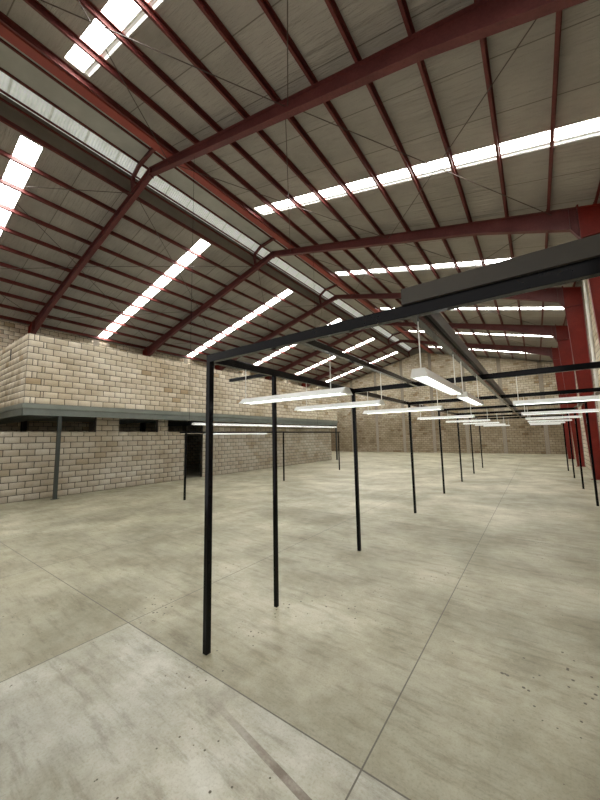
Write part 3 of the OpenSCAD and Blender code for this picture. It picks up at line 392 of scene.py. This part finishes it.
# The parapet's blocks: the upper walls that stand on the mezzanine's deck, of the same cream blocks.
# Every other course of the long wall ends in a short closer, to break the joints at the corner.
DECK_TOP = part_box("mezzanine_deck")[1].z
SLIT = (5.9, 1.62, 6.05, 2.05)
(front_low, front_high), (ends_low, _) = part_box("upper_front_wall"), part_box("upper_end_walls")
thick = front_high.x - front_low.x
parapet = level(front_high.z - DECK_TOP)
run = front_high.y - front_low.y
depth = front_low.x - ends_low.x
block_faces("parapet_block_faces", cream_block, [
    wall((front_high.x, front_low.y, DECK_TOP), (0, 1, 0), run, parapet, bond=CLOSER_BOND),
    wall((front_low.x, front_high.y - thick, DECK_TOP), (0, -1, 0), run - 2 * thick, parapet),
    wall((ends_low.x, front_low.y, DECK_TOP), (1, 0, 0), depth + thick, parapet, [SLIT]),
    wall((front_low.x, front_low.y + thick, DECK_TOP), (-1, 0, 0), depth, parapet),
    wall((ends_low.x, front_high.y - thick, DECK_TOP), (1, 0, 0), depth, parapet),
    wall((front_high.x, front_high.y, DECK_TOP), (-1, 0, 0), depth + thick, parapet),
])


# The office walls' blocks, under the deck: the same blocks from one batch, evener in tone, and painted
# greyer and darker as painted shade under the deck. They stop round the high openings, the doorway
# and the cross beams' pockets.
UNDER_DECK_SHADE_TONES = [(0.0, "#b3ac9d"), (0.25, "#b8b1a3"), (0.5, "#afa798"), (0.75, "#bbb5a8"), (0.93, "#a69c89")]
# Heights over the floor, and places along the wall from the parapet's near corner
SILL, HEAD = 2.35 - FLOOR_TOP, 2.88 - FLOOR_TOP
OPENINGS = [(3.19, 4.84), (5.32, 7.23)]
DOOR = (6.33, 7.23)
LOW_RUN = 2.35
LOW_END = front_low.y + LOW_RUN
BEAM_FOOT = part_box("mezzanine_front_beam")[0].z - FLOOR_TOP
BEAM_GAP = 0.01
office_low, office_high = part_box("office_front_wall_near")
office = office_high.z - FLOOR_TOP
OVER, UNDER = office + 1, -1  # Clear of the walls' tops and feet


def office_holes(start, end, step):
    """The holes of an office wall between two places along the hall, seen along a step of 1 or -1."""
    found = [(front_low.y + a, SILL, front_low.y + b, HEAD) for a, b in OPENINGS]
    found.append((front_low.y + DOOR[0], UNDER, front_low.y + DOOR[1], SILL))
    found += [(low.y - BEAM_GAP, BEAM_FOOT, high.y + BEAM_GAP, OVER)
              for low, high in solids_of("mezzanine_cross_beams") if low.y > LOW_END]
    found.append((office_low.y, SILL, LOW_END, OVER))
    if step > 0:
        return [(a - start, v0, b - start, v1) for a, v0, b, v1 in found]
    return [(end - b, v0, end - a, v1) for a, v0, b, v1 in found]


office_walls = []
for low, high in ((office_low, office_high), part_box("office_front_wall_far")):
    for x, start, step in ((high.x, low.y, 1), (low.x, high.y, -1)):
        office_walls.append(wall((x, start, FLOOR_TOP), (0, step, 0), high.y - low.y, level(office),
                                 office_holes(low.y, high.y, step)))
for low, high in solids_of("office_end_wall"):
    office_walls.append(wall((low.x, low.y, FLOOR_TOP), (1, 0, 0), high.x - low.x, level(office)))
    office_walls.append(wall((high.x, high.y, FLOOR_TOP), (-1, 0, 0), high.x - low.x, level(office)))
# Painted shade: the office walls under the deck take darker tones than the cream blocks.
office_block_painted_shade = cast_block("cream_block_painted_shade", UNDER_DECK_SHADE_TONES, "#cfc3af")
block_faces("office_block_faces", office_block_painted_shade, office_walls)


# The concrete tie columns and lintels: cast between the blocks against rough boards, and greyer than
# the blocks. The boards, 200 mm wide, have left their edges and grain in the face.
BOARD = 0.1963
WAVE_LENGTH = math.pi / 10  # Of Blender's wave texture at a scale of 1
board_concrete, tree, shader = material("board_marked_concrete", {"Roughness": 0.85})
where = add(tree, "TexCoord").outputs["Object"]
grain = add(tree, "TexNoise", {"Vector": where, "Scale": per(71.4), "Detail": 6, "Roughness": 0.7})
boards = add(tree, "TexWave", {"Vector": where, "Scale": WAVE_LENGTH / BOARD, "Distortion": 2.5,
                               "Detail": 3, "Detail Scale": 4}, bands_direction="Z")
tone = add(tree, "ValToRGB", {"Fac": grain}, [(0.3, "#7e766a"), (0.6, "#968c7e"), (0.8, "#a59b8c")])
relief = add(tree, "Bump", {"Height": boards.outputs["Fac"], "Distance": 0.004})
join(tree, shader, {"Base Color": tone, "Normal": relief})
dress(board_concrete, "side_tie_columns", "gable_tie_columns", "door_lintels")


# The portal frames: plate girders welded from steel plate, in red oxide primer that was brushed on
# and has dulled. The monitor's bent brackets were painted with them.
def oxide(name, tones, roughness):
    """Brushed red oxide primer on steel: a dull satin, with dusty patches 0.8 m apart and faint runs
    45 mm apart."""
    made, tree, shader = material(name, {"Roughness": roughness, "Specular IOR Level": 0.3})
    where = add(tree, "TexCoord").outputs["Object"]
    patches = add(tree, "TexNoise", {"Vector": where, "Scale": per(769), "Detail": 7, "Roughness": 0.65})
    streaks = add(tree, "TexNoise", {"Vector": where, "Scale": per(45.5), "Detail": 4, "Roughness": 0.6})
    tone = add(tree, "ValToRGB", {"Fac": patches}, [(0.3, tones[0]), (0.55, tones[1]), (0.8, tones[2])])
    runs = add(tree, "ValToRGB", {"Fac": streaks}, [(0.3, "#c9c2bd"), (0.6, "#ffffff")])
    tone = add(tree, "MixRGB", {"Fac": 0.6, "Color1": tone, "Color2": runs}, blend_type="MULTIPLY")
    relief = add(tree, "Bump", {"Height": streaks, "Distance": 0.0008})
    join(tree, shader, {"Base Color": tone, "Normal": relief})
    return made


frame_primer = oxide("brushed_red_oxide_primer", ["#572d2c", "#673534", "#764341"], 0.5)
dress(frame_primer, "left_rafters", "right_rafters", "monitor_brackets")
# The columns got a second, fresher coat, up to the knee. The left ones stand in the dark rooms under
# the mezzanine, and below the deck they are painted near-black, as painted shade.
FRESH = ["#6b1a10", "#7b1f13", "#893022"]
dress(oxide("second_coat_red_oxide", FRESH, 0.5), "right_columns")
left_primer_painted_shade = oxide("second_coat_painted_shade_under_deck", FRESH, 0.5)
tree, shader, tone = opened(left_primer_painted_shade)
height = add(tree, "SeparateXYZ", {"Vector": add(tree, "TexCoord").outputs["Object"]}).outputs["Z"]
# Painted shade: near-black below the deck top.
under = add(tree, "Math", {0: height, 1: DECK_TOP}, operation="LESS_THAN")
tone = add(tree, "MixRGB", {"Fac": under, "Color1": tone, "Color2": "#1f1917"})
join(tree, shader, {"Base Color": tone})
dress(left_primer_painted_shade, "left_columns")


# The purlins: cold-rolled channels, dipped in the same primer before they were bolted up. The wide
# channel beside the monitor catches the rooflights from below, and is painted salmon as painted light.
CHANNEL_MIDDLE = 1.08
CHANNEL_HALF = 0.26
purlin_primer = oxide("dipped_red_oxide_primer", ["#552623", "#662e2a", "#76433c"], 0.58)
tree, shader, tone = opened(purlin_primer)
beside = add(tree, "SeparateXYZ", {"Vector": add(tree, "TexCoord").outputs["Object"]}).outputs["X"]
# Painted light: the wide channel near x = 1.08 is drawn salmon, as lit by the rooflights from below.
off = add(tree, "Math", {0: beside, 1: CHANNEL_MIDDLE}, operation="SUBTRACT")
off = add(tree, "Math", {0: off}, operation="ABSOLUTE")
painted_light_channel = add(tree, "Math", {0: off, 1: CHANNEL_HALF}, operation="LESS_THAN")
tone = add(tree, "MixRGB", {"Fac": painted_light_channel, "Color1": tone, "Color2": "#974b43"})
join(tree, shader, {"Base Color": tone})
dress(purlin_primer, "left_purlins", "right_purlins", "monitor_purlins")


# The frames' bolts and cleats: M20 bolts through the end plates at the knees and the ridge, anchor
# bolts in the base plates, and a cleat welded to the rafter for each purlin, with two M12 bolts.
FRAME_LINES = [-12.0, -6.0, 0.0, 6.0, 12.0]
KNEE_X = 10.73
KNEE_ROWS = [7.097, 7.22, 7.42, 7.64, 7.88, 8.038]
RIDGE_ROWS = [10.42, 10.51, 10.62]
BASE_ROWS = [11.06, 11.24]
BOLT_SPREAD = 0.045
PLATE = 0.018
# Across the flats, height of the head or nut, and radius of the washer
M20, ANCHOR, M12 = (0.030, 0.014, 0.022), (0.036, 0.030, 0.026), (0.019, 0.009, 0.013)
WASHER = 0.003
TO_CORNERS = 0.577  # A hexagon's radius over its width across the flats
FIRST_PURLIN = {-1: 1.28, 1: 1.36}
PURLIN_PITCH = 0.969
PURLIN_COUNT = 11
CLEAT, CLEAT_HALF, CLEAT_TOP = 0.008, 0.06, 0.115
CLEAT_BOLT_SPREAD, CLEAT_BOLT_HEIGHT = 0.03, 0.07
slope = math.atan(ROOF_FALL)


def put_bolt(shape, centre, axis, size):
    """Adds a hexagon head on its washer, standing on a face that looks along axis."""
    across, height, washer = size
    at = Matrix.Translation(centre) @ Vector(axis).to_track_quat("Z", "Y").to_matrix().to_4x4()
    for sides, radius, foot, top in ((16, washer, 0.0, WASHER),
                                     (6, across * TO_CORNERS, WASHER, WASHER + height)):
        bmesh.ops.create_cone(shape, cap_ends=True, segments=sides, radius1=radius, radius2=radius,
                              depth=top - foot, matrix=at @ Matrix.Translation((0, 0, (foot + top) / 2)))


shape = bmesh.new()
for side in (-1, 1):
    down_slope = Matrix.Translation((0, 0, GABLE_RIDGE)) @ Matrix.Rotation(slope * side, 4, "Y")
    for y in FRAME_LINES:
        for dy in (-BOLT_SPREAD, BOLT_SPREAD):
            for z in KNEE_ROWS:
                put_bolt(shape, (side * (KNEE_X - PLATE), y + dy, z), (-side, 0, 0), M20)
            for z in RIDGE_ROWS:
                put_bolt(shape, (side * PLATE, y + dy, z), (side, 0, 0), M20)
            for x in BASE_ROWS:
                put_bolt(shape, (side * x, y + dy, FLOOR_TOP + PLATE), (0, 0, 1), ANCHOR)
        for i in range(PURLIN_COUNT):
            x = (FIRST_PURLIN[side] + i * PURLIN_PITCH) / math.cos(slope)
            size = Vector((CLEAT, 2 * CLEAT_HALF, CLEAT_TOP))
            middle = Vector((side * (x - CLEAT / 2), y, CLEAT_TOP / 2))
            at = down_slope @ Matrix.Translation(middle) @ Matrix.Diagonal(size.to_4d())
            bmesh.ops.create_cube(shape, size=1.0, matrix=at)
            for dy in (-CLEAT_BOLT_SPREAD, CLEAT_BOLT_SPREAD):
                centre = down_slope @ Vector((side * (x - CLEAT), y + dy, CLEAT_BOLT_HEIGHT))
                put_bolt(shape, centre, down_slope.to_3x3() @ Vector((-side, 0, 0)), M12)
mesh = bpy.data.meshes.new("frame_bolts_and_cleats")
shape.to_mesh(mesh)
shape.free()
fixed("frame_bolts_and_cleats", mesh, frame_primer)


# The roof sheeting: standing-seam steel sheet over a blanket of insulation. Its underside is a thin
# grey-brown facing, lapped about every 1.2 m along the hall and a little slack between the purlins.
LAP = 1.22
roof_facing, tree, shader = material("lapped_insulation_facing", {})
where = add(tree, "TexCoord").outputs["Object"]
along_y = add(tree, "SeparateXYZ", {"Vector": where}).outputs["Y"]
mottle = add(tree, "TexNoise", {"Vector": where, "Scale": per(1429), "Detail": 6, "Roughness": 0.6})
count = add(tree, "Math", {0: along_y, 1: LAP}, operation="DIVIDE")
sheet = add(tree, "Math", {0: count}, operation="FLOOR")
own = add(tree, "TexWhiteNoise", {"W": sheet}, noise_dimensions="1D")
along = add(tree, "Math", {0: count}, operation="FRACT")
under = add(tree, "ValToRGB", {"Fac": mottle}, [(0.3, "#948f87"), (0.5, "#a29c94"), (0.75, "#ada79f")])
shade = add(tree, "ValToRGB", {"Fac": own}, [(0.0, "#efefef"), (1.0, "#ffffff")])
laps = add(tree, "ValToRGB", {"Fac": along}, [(0.0, "#8a8075"), (0.012, "#8a8075"), (0.02, "#ffffff")])
for share, veil in ((1.0, shade), (0.8, laps)):
    under = add(tree, "MixRGB", {"Fac": share, "Color1": under, "Color2": veil}, blend_type="MULTIPLY")
# The outside is plain coated steel, paler and glossier, with rain marks down the slope.
weather = add(tree, "TexNoise", {"Vector": where, "Scale": per(909), "Detail": 8, "Roughness": 0.65})
top = add(tree, "ValToRGB", {"Fac": weather}, [(0.3, "#8f9190"), (0.55, "#a3a5a3"), (0.8, "#b2b3b0")])
facing = add(tree, "NewGeometry").outputs["Normal"]
up = add(tree, "SeparateXYZ", {"Vector": facing}).outputs["Z"]
outside = add(tree, "Math", {0: up, 1: 0.0}, operation="GREATER_THAN")
tone = add(tree, "MixRGB", {"Fac": outside, "Color1": under, "Color2": top})
gloss = add(tree, "MapRange", {"Value": outside, "To Min": 0.75, "To Max": 0.42})
# The blanket sags a little, in creases down the slope, 1.25 m long and 140 mm apart.
across = add(tree, "Mapping", {"Vector": where, "Scale": (0.8, 7.0, 0.8)})
crease = add(tree, "TexNoise", {"Vector": across, "Scale": per(1000), "Detail": 5, "Roughness": 0.6})
relief = add(tree, "Bump", {"Height": crease, "Distance": 0.12})
join(tree, shader, {"Base Color": tone, "Roughness": gloss, "Normal": relief})
dress(roof_facing, "left_roof_sheeting", "right_roof_sheeting")


# The rooflights: strips of translucent glass-fibre sheet. Daylight fills them from above, so from
# inside they are pure white and light the purlins that cross them.
DAYLIGHT = 24.0
daylit_sheet, tree, shader = material("daylit_glass_fibre_sheet", {
    "Roughness": 0.4, "Base Color": "#eef0ea", "Emission Color": "#fbfdf8"})
facing = add(tree, "NewGeometry").outputs["Normal"]
up = add(tree, "SeparateXYZ", {"Vector": facing}).outputs["Z"]
inside = add(tree, "Math", {0: up, 1: -0.5}, operation="LESS_THAN")
glow = add(tree, "Math", {0: inside, 1: DAYLIGHT}, operation="MULTIPLY")
# A folded trim closes the far edge of each right-hand strip: duller, with two dark lines along it.
BAY = 6.0
BAY_COUNT = 6
TRIM = 0.12
TRIM_LINES = [(0.0, "#202020"), (0.12, "#000000"), (0.34, "#202020"), (0.52, "#000000"),
              (0.66, "#404040"), (0.99, "#ffffff")]
far_edge = max(high.y for low, high in solids_of("right_rooflights"))
parts = add(tree, "SeparateXYZ", {"Vector": add(tree, "TexCoord").outputs["Object"]})
off = add(tree, "Math", {0: parts.outputs["Y"], 1: far_edge - TRIM - BAY_COUNT * BAY},
          operation="SUBTRACT")
off = add(tree, "Math", {0: off, 1: BAY}, operation="MODULO")
off = add(tree, "MapRange", {"Value": off, "From Max": TRIM})
left = add(tree, "Math", {0: parts.outputs["X"], 1: 0.0}, operation="LESS_THAN")
off = add(tree, "Math", {0: off, 1: left}, operation="MAXIMUM")
shadow = add(tree, "ValToRGB", {"Fac": off}, TRIM_LINES, interpolation="CONSTANT")
glow = add(tree, "Math", {0: glow, 1: shadow}, operation="MULTIPLY")
join(tree, shader, {"Emission Strength": glow})
dress(daylit_sheet, "left_rooflights", "right_rooflights")


# The ridge monitor's shoulders: ribbed translucent sheet that glows a pale green-white. Its ribs run
# down the sheet every 76 mm, the sheets lap every 0.9 m, and grime has gathered on them.
RIB = 0.076
SHOULDER_LAP = 0.9
shoulder_sheet, tree, shader = material("ribbed_green_white_sheet", {
    "Roughness": 0.5, "Base Color": "#d4dcd0", "Emission Strength": 0.5})
where = add(tree, "TexCoord").outputs["Object"]
along_y = add(tree, "SeparateXYZ", {"Vector": where}).outputs["Y"]
ribs = add(tree, "Math", {0: along_y, 1: RIB / 2}, operation="PINGPONG")
ribs = add(tree, "MapRange", {"Value": ribs, "From Max": RIB / 2})
glow = add(tree, "ValToRGB", {"Fac": ribs}, [(0.0, "#cdd0cd"), (0.5, "#dfe2df")])
grime = add(tree, "TexNoise", {"Vector": where, "Scale": per(455), "Detail": 8, "Roughness": 0.7})
grime = add(tree, "ValToRGB", {"Fac": grime}, [(0.3, "#b4b1ac"), (0.6, "#ffffff")])
laps = add(tree, "Math", {0: along_y, 1: SHOULDER_LAP / 2}, operation="PINGPONG")
laps = add(tree, "ValToRGB", {"Fac": laps}, [(0.0, "#8d8a85"), (0.02, "#8d8a85"), (0.035, "#ffffff")])
for veil in (grime, laps):
    glow = add(tree, "MixRGB", {"Fac": 0.8, "Color1": glow, "Color2": veil}, blend_type="MULTIPLY")
relief = add(tree, "Bump", {"Height": ribs, "Distance": 0.02})
join(tree, shader, {"Emission Color": glow, "Normal": relief})
dress(shoulder_sheet, "monitor_shoulder_lights")


# The monitor's crown and sides, and the verge flashings: flat steel sheet, folded and colour-coated.
# The sides are painted darker than the crown, as painted shade.
def coated_sheet(name, tones, roughness=0.5):
    """A factory or brushed coat on steel or plastic: even and satin, with soft dust 0.7 m apart."""
    made, tree, shader = material(name, {"Roughness": roughness})
    where = add(tree, "TexCoord").outputs["Object"]
    dust = add(tree, "TexNoise", {"Vector": where, "Scale": per(714), "Detail": 7, "Roughness": 0.65})
    tone = add(tree, "ValToRGB", {"Fac": dust}, [(0.3, tones[0]), (0.7, tones[1])])
    join(tree, shader, {"Base Color": tone})
    return made


dress(coated_sheet("coated_crown_sheet", ["#a9a8a1", "#bbbab3"]), "monitor_top_sheet")
# Painted shade: the monitor's side and end sheets are darker than its crown.
dress(coated_sheet("coated_side_sheet_painted_shade", ["#6a6257", "#797166"]), "monitor_side_sheets",
      "monitor_end_sheets")
dress(coated_sheet("folded_flashing_sheet", ["#85827a", "#98958c"]), "verge_flashings")


# The bracing: round steel bars between the frames, brushed with the frames' primer and dulled by
# dust and smoke until they are almost black.
dress(coated_sheet("dulled_bracing_bar", ["#3f332e", "#57473f"], 0.55), "roof_bracing")


# The gutters and the doorway's rolled shutter: folded galvanised sheet, left bare, with spangles
# 22 mm across. The downpipes are white plastic pipe, smooth and a little glossy.
galvanised, tree, shader = material("galvanised_sheet", {"Roughness": 0.4, "Metallic": 0.75})
where = add(tree, "TexCoord").outputs["Object"]
spangle = add(tree, "TexVoronoi", {"Vector": where, "Scale": per(22.2)})
tone = add(tree, "ValToRGB", {"Fac": spangle}, [(0.0, "#8f9496"), (1.0, "#b4b8b9")])
join(tree, shader, {"Base Color": tone})
dress(galvanised, "eaves_gutters", "roller_shutter", "shutter_guides")
dress(coated_sheet("white_pipe_plastic", ["#d8d5cb", "#e8e6de"], 0.35), "downpipes")


# The mezzanine's steel: deck edge, edge beam, cross beams and posts, brushed with a grey-green gloss
# that has dulled. The posts, under the deck, are painted darker, as painted shade.
dress(coated_sheet("dulled_grey_green_gloss", ["#6c716a", "#7f847c"], 0.45), "mezzanine_deck")
dress(coated_sheet("grey_green_steel_gloss", ["#5c625d", "#727872"], 0.45), "mezzanine_front_beam",
      "mezzanine_cross_beams")
# Painted shade: the posts are near-black.
dress(coated_sheet("grey_post_gloss_painted_shade", ["#272b27", "#363b36"], 0.5), "mezzanine_posts")


# The lighting frame: square tubes in black gloss paint. Their rolled corners, 8 mm in radius, carry a
# thin bright line of daylight. The trunking on top of them is folded dark grey sheet.
CORNER_RADIUS = 0.008
black_tube = coated_sheet("black_gloss_tube", ["#08080a", "#111114"], 0.13)
tree, shader, tone = opened(black_tube)
corners = add(tree, "Bevel", {"Radius": CORNER_RADIUS}, samples=4)
join(tree, shader, {"Specular IOR Level": 0.14, "Normal": corners})
dress(black_tube, "lighting_posts", "lighting_beams", "hung_light_rail")
dress(coated_sheet("folded_trunking_sheet", ["#302d27", "#3f3b33"], 0.5), "cable_trunking")


# The luminaires: folded steel reflectors with two fluorescent tubes each. The stove enamel is a
# clean, glossy white, and the lit tubes are brighter than any other thing under the roof.
stove_enamel = material("white_stove_enamel", {"Roughness": 0.25, "Base Color": "#e9eae6"})[0]
dress(stove_enamel, "luminaires")
lit_tube = material("lit_fluorescent_glass", {
    "Roughness": 0.2, "Base Color": "#fdfefa", "Emission Color": "#fbfffb", "Emission Strength": 2.8})[0]
dress(lit_tube, "fluorescent_tubes")


# The studio: a plain pale floor round the building, soft white daylight on its outside, and large
# soft lamps inside the hall, where the walls keep the daylight out.
SKY = 0.75
REACH = 300.0
GROUND = -0.002
world = bpy.context.scene.world or bpy.data.worlds.new("studio")
bpy.context.scene.world = world
world.use_nodes = True
tree = world.node_tree
tree.nodes.clear()
seen = add(tree, "LightPath").outputs
direct = add(tree, "Math", {0: seen["Is Camera Ray"], 1: seen["Is Glossy Ray"]}, operation="MAXIMUM")
direct = add(tree, "Math", {0: direct, 1: seen["Is Transmission Ray"]}, operation="MAXIMUM")
strength = add(tree, "MapRange", {"Value": direct, "To Min": SKY, "To Max": 1.0})
sky = add(tree, "Background", {"Color": "#ffffff", "Strength": strength})
add(tree, "OutputWorld", {"Surface": sky})
ground = bpy.data.meshes.new("studio_floor")
ground.from_pydata([(-REACH, -REACH, GROUND), (REACH, -REACH, GROUND), (REACH, REACH, GROUND),
                    (-REACH, REACH, GROUND)], [], [(0, 1, 2, 3)])
ground.materials.append(material("pale_studio_floor", {"Roughness": 0.9, "Base Color": "#f0efec"})[0])
studio_floor = bpy.data.objects.new("studio_floor", ground)
bpy.context.collection.objects.link(studio_floor)
studio_floor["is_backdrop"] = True


def lamp(name, kind, at, aim, **values):
    """A soft lamp that the camera doesn't see."""
    data = bpy.data.lights.new(name, kind)
    for key, value in values.items():
        setattr(data, key, value)
    made = bpy.data.objects.new(name, data)
    made.location = at
    made.rotation_euler = Vector(aim).to_track_quat("-Z", "Y").to_euler()
    made.visible_camera = False
    bpy.context.collection.objects.link(made)


lamp("studio_sun", "SUN", (0, 0, 40), (0.5, 0.8, -1.1), energy=1.2, angle=0.35)
# Each area lamp: where it hangs, where it looks, its width and length, and its level
for name, at, aim, (width, length), share in (
        ("hall_lamp", (0, 0, 6.7), (0, 0, -1), (21.0, 34.0), 0.44),
        ("doorway_lamp", (3.0, -17.7, 2.6), (0, 1, 0.12), (14.0, 4.0), 0.88)):
    lamp(name, "AREA", at, aim, shape="RECTANGLE", size=width, size_y=length,
         energy=share * math.pi * width * length)


# The camera: a phone's wide lens, held upright at eye height just inside the near gable. It is turned
# to the left, looks a little upwards and leans by one degree.
YAW, PITCH, ROLL = (math.radians(a) for a in (35.755, 6.423, 1.094))
EYE = (9.343, -17.04, 2.026)
LENS, SENSOR = 14.62, 36.0  # Millimetres
forward = Vector((-math.sin(YAW) * math.cos(PITCH), math.cos(YAW) * math.cos(PITCH), math.sin(PITCH)))
right = Vector((math.cos(YAW), math.sin(YAW), 0.0))
upward = right.cross(forward)
across = right * math.cos(ROLL) - upward * math.sin(ROLL)
top = right * math.sin(ROLL) + upward * math.cos(ROLL)
camera = bpy.data.objects.new("camera", bpy.data.cameras.new("camera"))
bpy.context.collection.objects.link(camera)
camera.data.lens = LENS
camera.data.sensor_width = SENSOR
camera.data.clip_start = 0.05
camera.data.clip_end = 500.0
camera.matrix_world = Matrix((across, top, -forward)).transposed().to_4x4()
camera.location = EYE
bpy.context.scene.camera = camera
bpy.context.scene.view_settings.view_transform = "Standard"

low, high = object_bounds()
